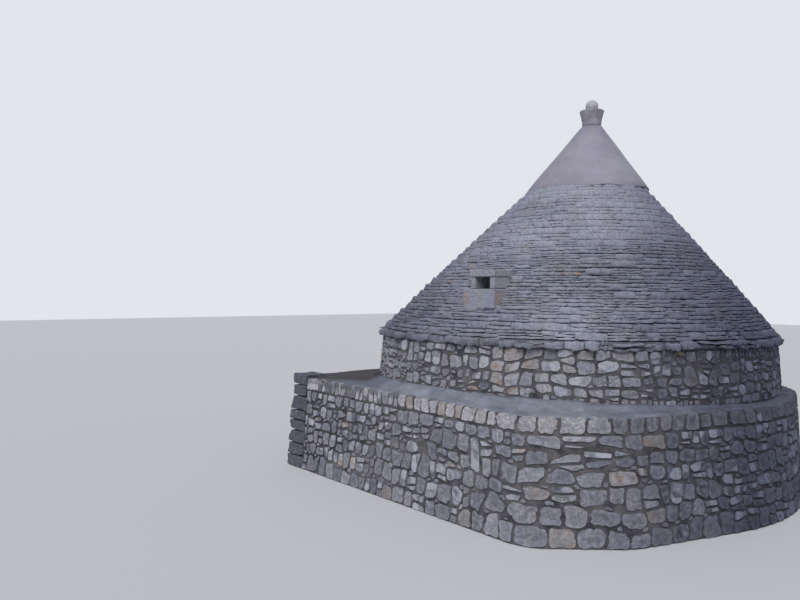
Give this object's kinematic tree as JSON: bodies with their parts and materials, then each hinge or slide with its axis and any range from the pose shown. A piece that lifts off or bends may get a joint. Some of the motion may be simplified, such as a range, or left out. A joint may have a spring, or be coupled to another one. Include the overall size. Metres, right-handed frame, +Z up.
{
  "type": "trullo house",
  "caption": "Round dry-stone trullo house with a battered base and ledge, a stepped slab cone roof with a plastered cap, a small roof window and a doorway.",
  "frame": {"origin": "on the lowest ground, under the centre of the round room, which is the middle of the base to within 50 mm", "axes": "+Z up; the small roof window and the straight front of the base face -Y; the doorway faces -X"},
  "size_m": [6.472, 6.595, 5.79],
  "materials": {
    "wall_rubble": "rough",
    "roof_slabs": "rough",
    "vault_stone": "rough",
    "dressed_stone": "rough",
    "mortar_topping": "rough",
    "lime_plaster": "matte",
    "carved_stone": "matte"
  },
  "bodies": {
    "root": {"base_wall_back_left": "wall_rubble", "base_wall_back_right": "wall_rubble", "base_wall_door_left": "wall_rubble", "base_wall_door_right": "wall_rubble", "base_wall_front_left": "wall_rubble", "base_wall_front_right": "wall_rubble", "base_wall_right": "wall_rubble", "cap_cone": "lime_plaster", "coping_back": "wall_rubble", "coping_door_side": "wall_rubble", "coping_front": "wall_rubble", "coping_right": "wall_rubble", "corner_pier": "wall_rubble", "door_jamb_left": "dressed_stone", "door_jamb_right": "dressed_stone", "door_lintel": "dressed_stone", "drum_wall_back_left": "wall_rubble", "drum_wall_back_right": "wall_rubble", "drum_wall_door_left": "wall_rubble", "drum_wall_door_right": "wall_rubble", "drum_wall_front_left": "wall_rubble", "drum_wall_front_right": "wall_rubble", "drum_wall_over_door": "wall_rubble", "drum_wall_right": "wall_rubble", "ledge_topping_left": "mortar_topping", "ledge_topping_right": "mortar_topping", "pinnacle_ball": "carved_stone", "pinnacle_drum": "carved_stone", "roof_above_window": "roof_slabs", "roof_back_left": "roof_slabs", "roof_back_right": "roof_slabs", "roof_below_window": "roof_slabs", "roof_front_left": "roof_slabs", "roof_front_right": "roof_slabs", "roof_left": "roof_slabs", "roof_right": "roof_slabs", "vault_back_left": "vault_stone", "vault_back_right": "vault_stone", "vault_closing_slab": "vault_stone", "vault_front_left": "vault_stone", "vault_front_right": "vault_stone", "vault_left": "vault_stone", "vault_right": "vault_stone", "window_block": "dressed_stone", "window_jamb_left": "dressed_stone", "window_jamb_right": "dressed_stone", "window_lintel": "dressed_stone"}
  },
  "joints": []
}
